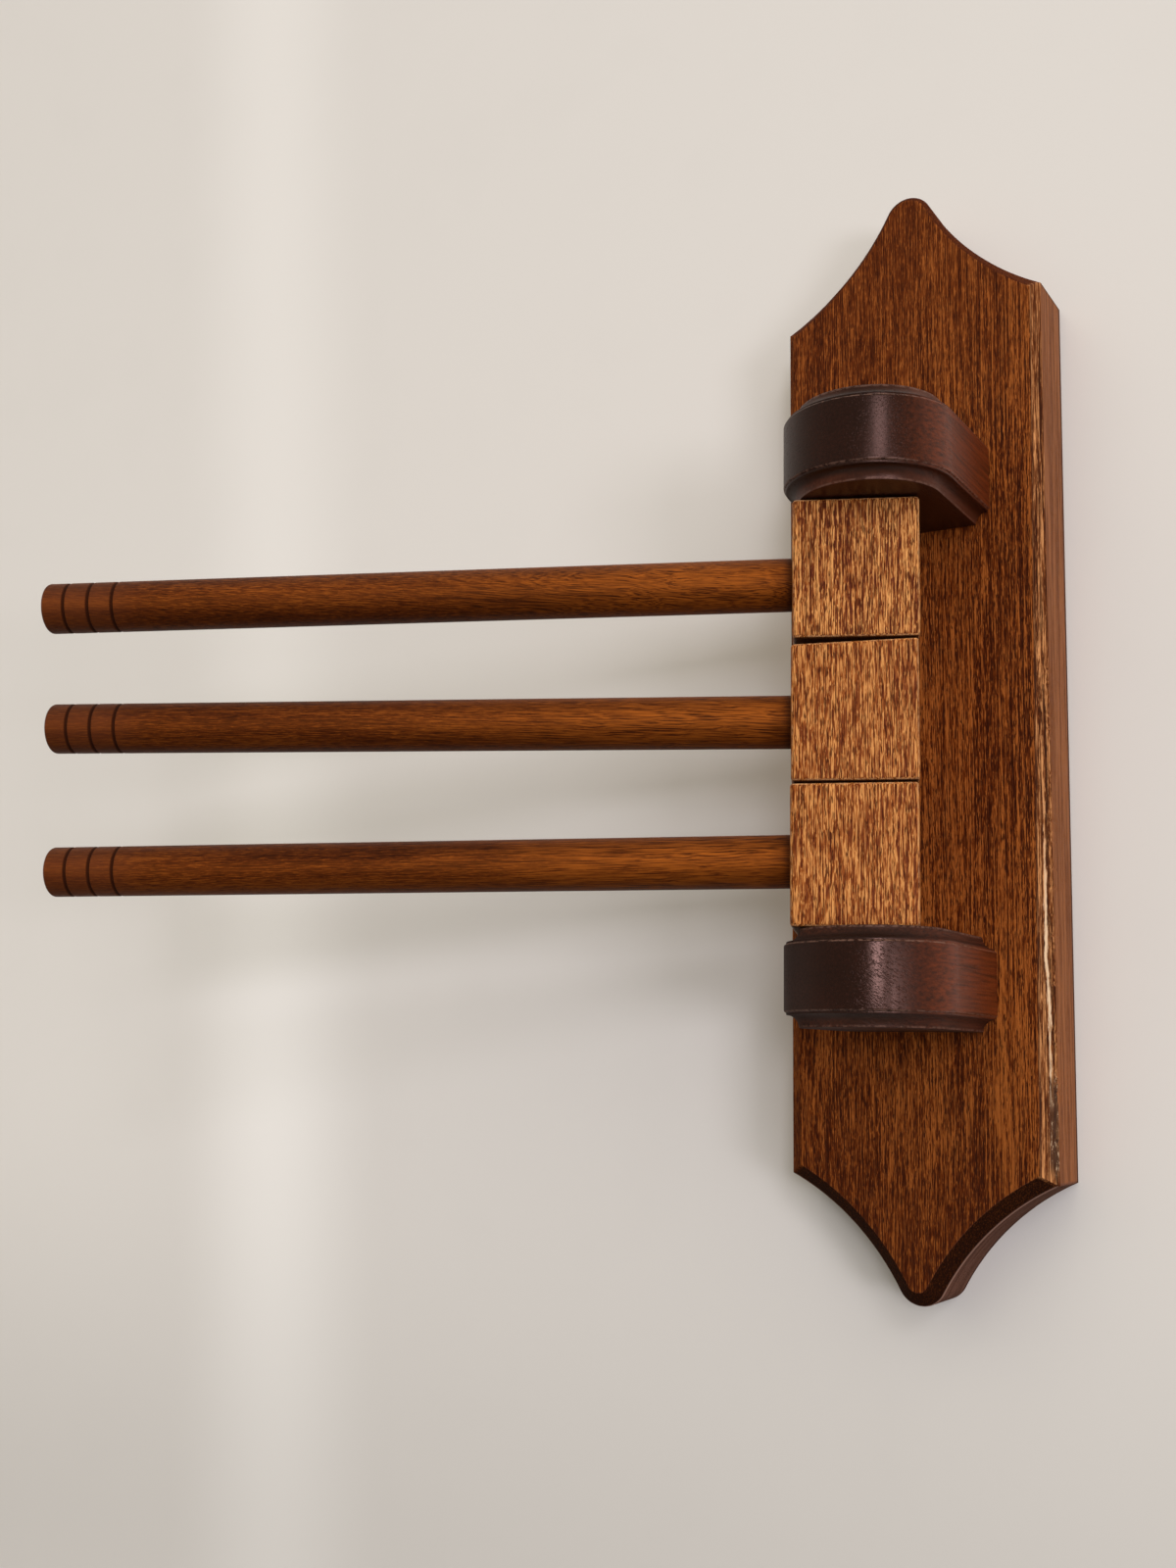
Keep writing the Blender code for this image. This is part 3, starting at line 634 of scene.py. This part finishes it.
def blockLoops(shape, slope):
    # A rounded square drawn in over quarter-round arrises at the top and foot, in the block's own frame.
    # The top falls by slope from the heel to the face.
    ease = shape["ease"]
    turnX, turnZ = arc(0, np.pi / 2, 7)
    rim = np.stack([ease * (1 - turnX), shape["height"] / 2 - ease * (1 - turnZ)], -1)
    middle = np.stack([np.zeros(9), np.linspace(-0.8, 0.8, 9) * shape["height"] / 2], -1)
    section = np.vstack([(rim * (1, -1))[::-1], middle, rim])
    inset, rise = section.T[..., None]
    corner = shape["corner"] - inset * 0.95
    turnX, turnY = (np.concatenate(part) for part in zip(*(arc(start, start + np.pi / 2, 8)
                    for start in np.arange(4) * np.pi / 2)))
    signX, signY = (np.repeat(signs, 8) for signs in ((1, -1, -1, 1), (1, 1, -1, -1)))
    x = shape["offset"] + signX * (shape["length"] / 2 - inset - corner) + corner * turnX
    y = signY * (shape["depth"] / 2 - inset - corner) + corner * turnY
    fall = slope * (x - shape["offset"] + shape["length"] / 2) / shape["length"]
    return np.stack([x, y, rise - fall * np.clip(rise / (shape["height"] / 2) * 0.5 + 0.5, 0, 1)], -1)


def armProfile(shape):
    # from the end in the socket to the tip, with a rounded groove for each scored ring
    radius, reach = shape["diameter"] / 2, shape["reach"]
    sweep = np.linspace(-1, 1, 11)
    dip = shape["ringDepth"] * (1 - np.abs(sweep) ** 1.3)
    rings = np.vstack([np.stack([place + sweep * shape["ringWidth"] / 2, radius - dip], -1) for place in ringPlaces])
    turnX, turnZ = arc(0, np.pi / 2, 8)
    tip = np.stack([reach - shape["tipEase"] * (1 - turnZ), radius - shape["tipEase"] * (1 - turnX)], -1)
    shaft = np.stack([np.linspace(0, shape["plain"], 46), np.full(46, radius)], -1)
    end = np.stack([np.full(4, reach), np.linspace(radius - shape["tipEase"], 0, 5)[1:]], -1)
    start, ease = seatGap - socketDepth, shape["heelEase"]
    heel = eased((start, radius - ease), (start, radius), (start + ease, radius), 4)
    return np.vstack([[(start, 0)], heel, shaft, rings, tip, end])


def swingFrame(level):
    # origin and turn of a block's own frame: X along the arm, Y out of the front face
    place = levels[level]
    turn = Matrix.Rotation(math.pi + math.radians(place["swing"]), 3, "Z")
    return np.array([0, pivot["y"], place["height"]]), turn


def armFrame(level):
    origin, turn = swingFrame(level)
    tilt = turn @ Matrix.Rotation(-math.radians(levels[level]["rise"]), 3, "Y")
    return origin + np.array(turn) @ (blockFace, 0, 0), tilt


def moved(points, origin, turn):
    return np.asarray(points) @ np.array(turn).T + origin


blockLook = {"dark": (88, 29, 3), "mid": (156, 82, 27), "light": (228, 158, 90), "pore": (64, 19, 4),
             "bands": (13, 120), "streaks": (0.38, 16), "fibres": (0.27, 4.5), "pores": (0.36, 3.4),
             "lines": (0.42, 24), "bandShare": 0.3, "streakShare": 3.0, "fibreShare": 2.4, "fleckShare": 0.5,
             "lineShare": 1.0, "wander": 2.0, "poreFrom": 0.55, "poreShare": 0.85,
             "worn": (218, 168, 122), "gold": (140, 66, 14), "gap": (44, 14, 4), "roughness": 0.47,
             "bump": (0.1, 0.6), "fixed": {"Specular IOR Level": 0.15, "Specular Tint": (1.0, 0.72, 0.55, 1.0)}}
blockWarmth = {"upper": 0.0, "middle": 0.35, "lower": 0.3}


def blockFinish(level, look):
    finish = Finish(level + " block wood", look)
    origin, turn = swingFrame(level)
    place = finish.place(origin, turn.to_euler())
    x, y, z = finish.parts(place)
    tone, pores, streaks = woodGrain(finish, place, levels[level]["seed"])
    woodColour(finish, tone, pores)
    finish.coat(blockWarmth[level] * 0.6, finish.mix(1 - pores, finish.colour, tint(look["gold"])))
    # on an edge, two of the distances to the faces are small at once
    length, halfHeight = blockShape["length"], blockShape["height"] / 2
    offX = length / 2 - abs(x - blockShape["offset"])
    offY = blockShape["depth"] / 2 - abs(y)
    fromHeel = x + length / 2 - blockShape["offset"]
    offZ = (z + halfHeight).least(halfHeight - z - fromHeel * (levels[level]["slope"] / length))
    offEdge = offX.least(offY).most(offX.most(offY).least(offZ))
    scattered = finish.noise(place, 2.5, 2.5, 3, 3.0, 0.7)
    rubbed = finish.ease(offEdge, 0.9, 0.25) * finish.ease(scattered, 0.38, 0.6)
    finish.coat(rubbed * 0.6, "worn")
    finish.coat(finish.ease(offZ, 0.35, 0.08) * 0.8, "gap")  # end grain, darker, with painted shade in the gaps between the blocks
    roughness = look["roughness"] + pores * 0.2 + (streaks - 0.5) * 0.2
    finish.finish(roughness, (tone - 0.5) * 0.4 - pores)
    return finish


armLook = {"dark": (46, 14, 2), "mid": (92, 39, 7), "light": (140, 72, 20), "pore": (40, 12, 2),
           "bands": (8, 120), "streaks": (0.28, 15), "fibres": (0.2, 4.0), "pores": (0.28, 2.6), "lines": (0.4, 20),
           "bandShare": 0.9, "streakShare": 1.15, "fibreShare": 1.25, "fleckShare": 0.2, "lineShare": 0.45,
           "wander": 1.0, "poreFrom": 0.6, "poreShare": 0.5,
           "glow": (164, 86, 24), "tip": (104, 52, 28), "ring": (38, 14, 8), "stain": (48, 18, 8), "under": (36, 13, 5),
           "figureSpan": (130, 15), "highlightSpan": (150, 20), "tipSpan": (215, 240), "stainSpan": (4.0, 0.6),
           "roughness": 0.54, "bump": (0.06, 0.5),
           "fixed": {"Specular IOR Level": 0.1, "Specular Tint": (1.0, 0.7, 0.45, 1.0)}}
armRunout = {"upper": 4.0, "middle": 1.0, "lower": -1.0}   # slope of the grain in degrees
armFigure = {"upper": 6.0, "middle": 3.0, "lower": 2.0}    # how far it waves near the block, in millimetres


def armFinish(level, look):
    finish = Finish(level + " arm wood", look)
    origin, turn = armFrame(level)
    # the third axis of this frame runs along the arm, the second up
    axes = turn @ Matrix(((0, 0, 1), (1, 0, 0), (0, 1, 0)))
    place = finish.place(origin, axes.to_euler())
    up, along = finish.parts(place)[1:]
    runout = (math.radians(armRunout[level]), 0, 0)
    tilted = finish.add("Mapping", sockets={"Vector": place, "Rotation": runout})
    cells = finish.scaled(place, (0.09, 0.09, 0.035), (levels[level]["seed"], 0, 0))
    wave = finish.add("TexNoise", sockets={"Vector": cells, "Scale": 1.0, "Detail": 2.0}, out="Color")
    wave = finish.add("VectorMath", {"operation": "SCALE"},
                      {0: wave, "Scale": finish.ease(along, *look["figureSpan"]) * armFigure[level]})
    waved = finish.add("VectorMath", {"operation": "ADD"}, {0: tilted, 1: wave})
    tone, pores, streaks = woodGrain(finish, waved, levels[level]["seed"] + 11)
    woodColour(finish, tone, pores)
    # a painted golden highlight near the block, redder at the tip
    glow = finish.ease(along, *look["highlightSpan"]) * (0.45 + (streaks - 0.5) * 4.0)
    finish.coat(glow, "glow")
    finish.coat(finish.ease(along, *look["tipSpan"]) * 0.5, "tip")
    # painted shade along the top and underneath, a faint painted highlight along the front, and the stain gathers at
    # the block
    shaded = finish.ease(up, 1, -7).most(finish.ease(up, 1.2, 6))
    finish.coat(shaded * 0.4, "under")
    finish.coat(finish.ease(abs(up + 0.6), 3.2, 0.8) * 0.09, "glow")
    stain = finish.ease(along + (streaks - 0.5) * 5, *look["stainSpan"])
    finish.coat(stain * 0.7, "stain")
    nearest = abs(along - ringPlaces[0])
    for ring in ringPlaces[1:]:
        nearest = nearest.least(abs(along - ring))
    scored = finish.ease(nearest, 0.85, 0.35)
    finish.coat(scored * 0.85, "ring")
    roughness = look["roughness"] + pores * 0.15 + (streaks - 0.5) * 0.2 + scored * 0.2
    finish.finish(roughness, (tone - 0.5) * 0.4 - pores)
    return finish


for level in levels:
    body = level + "_swing_arm"
    origin, turn = swingFrame(level)
    block = newObject(level + "Block", skin(moved(blockLoops(blockShape, levels[level]["slope"]), origin, turn)))
    bore = [(end, boreRadius) for end in (-boreCutter, boreCutter)]
    socket = [(end, armShape["diameter"] / 2 + seatGap) for end in (-socketDepth, socketMouth)]
    carve(block, [skin(upright(turned(bore, 48), levels[level]["height"])),
                  skin(moved(turned(socket, 72), *armFrame(level)))])
    dress(block, level + "_block", body, blockFinish(level, blockLook))
    arm = newObject(level + "Arm", skin(moved(turned(armProfile(armShape), 72), *armFrame(level))))
    dress(arm, level + "_arm", body, armFinish(level, armLook), sharp=40)

# Rod, screws and plates

metal = {"bump": (0.02, 0.4), "fixed": {"Metallic": 1.0}}
steelLook = {"colour": (176, 174, 170), "grime": (88, 80, 72), "roughness": 0.3, **metal}
zincLook = {"colour": (196, 184, 146), "cloud": (166, 160, 148), "scratch": (120, 112, 96), "roughness": 0.34, **metal}
crossShape = {"span": 0.55, "width": 0.14, "soft": 0.07, "depth": 0.32}   # in shares of the head's radius


def steelFinish(look):
    finish = Finish("rod steel", look)
    place = finish.place((0, pivot["y"], 0))
    lathe = finish.noise(place, 40, 0.35, 3, 3.0, 0.6)   # fine rings left by the lathe
    grime = finish.ease(finish.noise(place, 3, 9, 5, 3.0, 0.6), 0.5, 0.68)
    finish.colour = tint(look["colour"])
    finish.coat(grime * 0.6, "grime")
    roughness = look["roughness"] + (lathe - 0.5) * 0.3 + grime * 0.25
    finish.finish(roughness, lathe)
    return finish


def zincFinish(look):
    finish = Finish("plated steel", look)
    place = finish.place()
    cloud = finish.noise(place, 5, 5, 7, 3.0, 0.6)
    scratch = finish.ease(finish.noise(place, 0.5, 12, 9, 2.0, 0.6), 0.62, 0.74)
    finish.colour = tint(look["colour"])
    finish.coat(finish.ease(cloud, 0.35, 0.65), "cloud")
    finish.coat(scratch * 0.5, "scratch")
    roughness = look["roughness"] + (cloud - 0.5) * 0.4 + scratch * 0.15
    finish.finish(roughness, cloud - scratch)
    return finish


def screwLoops(screw):
    # Rows run from the middle of the head's face, where a cross is pressed in, down the countersink and along
    # a thread whose radius rises and falls once in each pitch as it winds, to a drawn-in point.
    cap, shank, length = screw["head"] / 2, screw["diameter"] / 2, screw["length"]
    columns = 40
    turn = np.linspace(0, 2 * np.pi, columns, endpoint=False)
    radius = np.linspace(0, cap - 0.15, 22)[:, None]
    u, v = radius * np.cos(turn), radius * np.sin(turn)
    span, width, soft, depth = (cap * crossShape[name] for name in ("span", "width", "soft", "depth"))
    slots = [np.clip((span - np.abs(a)) / soft, 0, 1) * np.clip((width - np.abs(b)) / soft + 0.5, 0, 1)
             for a, b in ((u, v), (v, u))]
    face = np.stack([np.maximum(*slots) * depth, u, v], -1)
    rim = turned([(0.12, cap), (cap - shank, shank)], columns)
    place = np.linspace(cap - shank, length, int(length / screw["pitch"] * 7))[1:, None]
    wind = (place / screw["pitch"] - turn / (2 * np.pi)) % 1
    crest = 1 - np.clip(np.abs(wind - 0.5) * 4 - 0.2, 0, 1)
    grown = np.clip((place - screw["smooth"]) / screw["pitch"], 0, 1)
    thread = shank * (1 - 0.28 * grown * (1 - crest))
    thread = thread * np.clip((length - place) / screw["diameter"] * 0.67 + 0.33, 0, 1)
    shaft = np.stack(np.broadcast_arrays(place, thread * np.cos(turn), thread * np.sin(turn)), -1)
    return np.concatenate([face, rim, shaft])


def plateLoops(shape):
    # a slot outline drawn in over rounded arrises front and back
    ease = shape["ease"]
    back, front = -seatGap, -seatGap - shape["thickness"]
    section = np.vstack([eased((ease, back), (0, back), (0, back - ease), 4),
                         eased((0, front + ease), (0, front), (ease, front), 4)])
    rings = [np.stack([x, np.full_like(x, y), z], -1) for inset, y in section
             for x, z in [stadium(shape["width"] - 2 * inset, -straight, straight)]]
    return np.stack(rings)


def keyhole(shape):
    # a round entry with a narrow slot running up from it to a round end
    entry, slot = shape["entry"] / 2, shape["slot"] / 2
    meet = math.asin(slot / entry)
    entryX, entryUp = arc(np.pi / 2 + meet, 5 * np.pi / 2 - meet, 40)
    slotX, slotUp = arc(0, np.pi, 20)
    return (np.concatenate([entryX * entry, slotX * slot]),
            np.concatenate([entryZ + entryUp * entry, slotZ + slotUp * slot]))


rodRadius, rodEase = pivot["rod"] / 2, pivot["rodEase"]
rodProfile = [(-rodReach, 0), (-rodReach, rodRadius - rodEase), (rodEase - rodReach, rodRadius)]
rodProfile = np.vstack([rodProfile, (np.array(rodProfile) * (-1, 1))[::-1]])
rod = newObject("pivotRod", skin(upright(turned(rodProfile, 64), pivot["z"])))
dress(rod, "pivot_rod", "frame", steelFinish(steelLook))

zinc = zincFinish(zincLook)
for name, screw, x, z, sunk in screwPlaces():
    parts = name.split("_")
    piece = newObject(parts[0] + "".join(part.capitalize() for part in parts[1:]),
                      skin(intoBoard(screwLoops(screw), x, z, sunk)))
    dress(piece, name, "frame", zinc, sharp=40)
for level, height in plateHeights.items():
    plate = newObject(level + "KeyholePlate", skin(plateLoops(plateShape) + (0, 0, height)))
    carve(plate, [prism(keyhole(plateShape), cutterProud, -2 * cutterProud, height), holes(level + "_plate")])
    dress(plate, level + "_keyhole_plate", "frame", zinc)

# Wall, floor, light and camera

stageLook = {"wall": (229, 223, 218), "band": (253, 248, 244), "floor": (172, 170, 169), "roughness": 0.75,
             "bump": (0.05, 0.3), "fixed": {"Specular IOR Level": 0.15},
             "stripe": (-300, 0.048, 60)}   # its middle, lean and half width
stageSize = {"half": 4.0, "wallY": 0.0006, "floorZ": -1.3, "top": 3.0}   # in metres
lampLook = {"softbox": {"azimuth": 33.0, "elevation": 21.0, "width": 1.5, "height": 1.3, "power": 38.0},
            "window": {"azimuth": 44.0, "elevation": 0.0, "width": 2.4, "height": 2.4, "power": 30.0},
            "doorway": {"azimuth": 25.0, "elevation": 4.0, "width": 1.4, "height": 1.2, "power": 70.0},
            "lowWindow": {"azimuth": 51.0, "elevation": -7.0, "width": 1.5, "height": 1.2, "power": 62.0}}
lampDistance = 6.0
lampColour = (1.0, 1.0, 1.09)
roomLook = {"above": (1.95, 1.88, 1.6), "level": (0.24, 0.23, 0.19), "below": (0.03, 0.028, 0.023),
            "dimLeft": 0.85, "backdrop": (0.46, 0.42, 0.365)}


def stageFinish(name, look, colour, band):
    # shows from its front only, to the eye and in reflections, so that it never hides the rack or shades it
    finish = Finish(name, look)
    place = finish.place()
    x, z = finish.parts(place)[::2]
    mottle = finish.noise(place, 60, 60, 3, 3.0, 0.6)
    finish.colour = finish.mix((mottle - 0.5) * 0.25, tint(colour), tint(np.multiply(colour, 0.9)))
    if band:
        # a pale stripe of light down the wall, and less light lower down
        middle, lean, halfWidth = look["stripe"]
        stripe = finish.ease(abs(x - middle + z * lean), halfWidth, 0)
        finish.coat(stripe * (0.4 + finish.ease(z, 100, -150) * 0.4), "band")
        finish.colour = finish.mix(finish.ease(z, -120, -330) * 0.5, finish.colour, tint(np.multiply(colour, 0.8)))
    finish.finish(look["roughness"], finish.noise(place, 1.6, 1.6, 5))
    shown = finish.seen() * (1 - finish.add("NewGeometry", out="Backfacing"))
    if band:
        # left open where the board hides it, so that the plates on the back don't mirror it from close by
        shown = shown * (1 - finish.ease(abs(x), 40, 39) * finish.ease(abs(z), 146, 145))
    surface = finish.add("MixShader", {}, {0: shown, 1: finish.add("BsdfTransparent"),
                                           2: Wire(finish, finish.shader.outputs[0])})
    finish.plug(finish.tree.nodes["Material Output"].inputs["Surface"], surface)
    return finish


def stagePlane(name, near, far, finish):
    # near and far are the Y and Z of two edges along X
    half = stageSize["half"]
    mesh = bpy.data.meshes.new(name)
    mesh.from_pydata([(-half, *near), (half, *near), (half, *far), (-half, *far)], [], [(0, 1, 2, 3)])
    mesh.materials.append(finish.owner)
    plane = bpy.data.objects.new(name, mesh)
    bpy.context.scene.collection.objects.link(plane)


corner = (stageSize["wallY"], stageSize["floorZ"])
stagePlane("wall", corner, (stageSize["wallY"], stageSize["top"]),
           stageFinish("wall paint", stageLook, stageLook["wall"], band=True))
stagePlane("floor", (-stageSize["half"], stageSize["floorZ"]), corner,
           stageFinish("floor paint", stageLook, stageLook["floor"], band=False))


def areaLamp(name, azimuth, elevation, width, height, power):
    # azimuth is round to the right from straight in front of the rack
    light = bpy.data.lights.new(name, "AREA")
    light.shape, light.size, light.size_y = "RECTANGLE", width, height
    light.energy, light.color = power, lampColour
    lamp = bpy.data.objects.new(name, light)
    bpy.context.scene.collection.objects.link(lamp)
    side, rise = math.radians(azimuth), math.radians(elevation)
    toLamp = Vector((math.sin(side) * math.cos(rise), -math.cos(side) * math.cos(rise), math.sin(rise)))
    lamp.location = toLamp * lampDistance
    lamp.rotation_euler = toLamp.to_track_quat("Z", "Y").to_euler()


for name, look in lampLook.items():
    areaLamp(name, **look)


def roomLight(look):
    # soft light from all round, most from the ceiling and the right, least from the floor, and a pale backdrop
    room = Finish("room", look, bpy.data.worlds.new("room"))
    bpy.context.scene.world = room.owner
    x, rise = room.parts(room.add("TexCoord", out="Generated"))[::2]
    stops = [(0.0, (*look["below"], 1)), (0.5, (*look["level"], 1)), (1.0, (*look["above"], 1))]
    shade = room.add("ValToRGB", {"stops": stops}, {0: rise * 0.5 + 0.5})
    shade = room.mix(0.5 - x * 0.5, shade, room.scaled(shade, (look["dimLeft"],) * 3))
    room.plug(room.tree.nodes["Background"].inputs["Color"], room.mix(room.seen(), shade, (*look["backdrop"], 1)))


roomLight(roomLook)

view = {"lens": 39.3975, "sensor": 36.0, "shift": (0.025, 0.0375), "nearest": 0.01,
        "location": (0.18836, -0.57457, -0.1125), "roll": 0.98, "pitch": -7.26, "yaw": -31.08}
cameraData = bpy.data.cameras.new("camera")
cameraData.lens, cameraData.sensor_width = view["lens"], view["sensor"]
cameraData.shift_x, cameraData.shift_y = view["shift"]
cameraData.clip_start = view["nearest"]
camera = bpy.data.objects.new("camera", cameraData)
bpy.context.scene.collection.objects.link(camera)
roll, pitch, yaw = (Matrix.Rotation(math.radians(view[name]), 3, axis)
                    for name, axis in (("roll", "Y"), ("pitch", "X"), ("yaw", "Z")))
right, ahead, up = roll @ pitch @ yaw
camera.matrix_world = Matrix.Translation(view["location"]) @ Matrix((right, up, -ahead)).transposed().to_4x4()
bpy.context.scene.camera = camera
bpy.context.scene.view_settings.view_transform = "Standard"
print("wall, lamps and camera set")
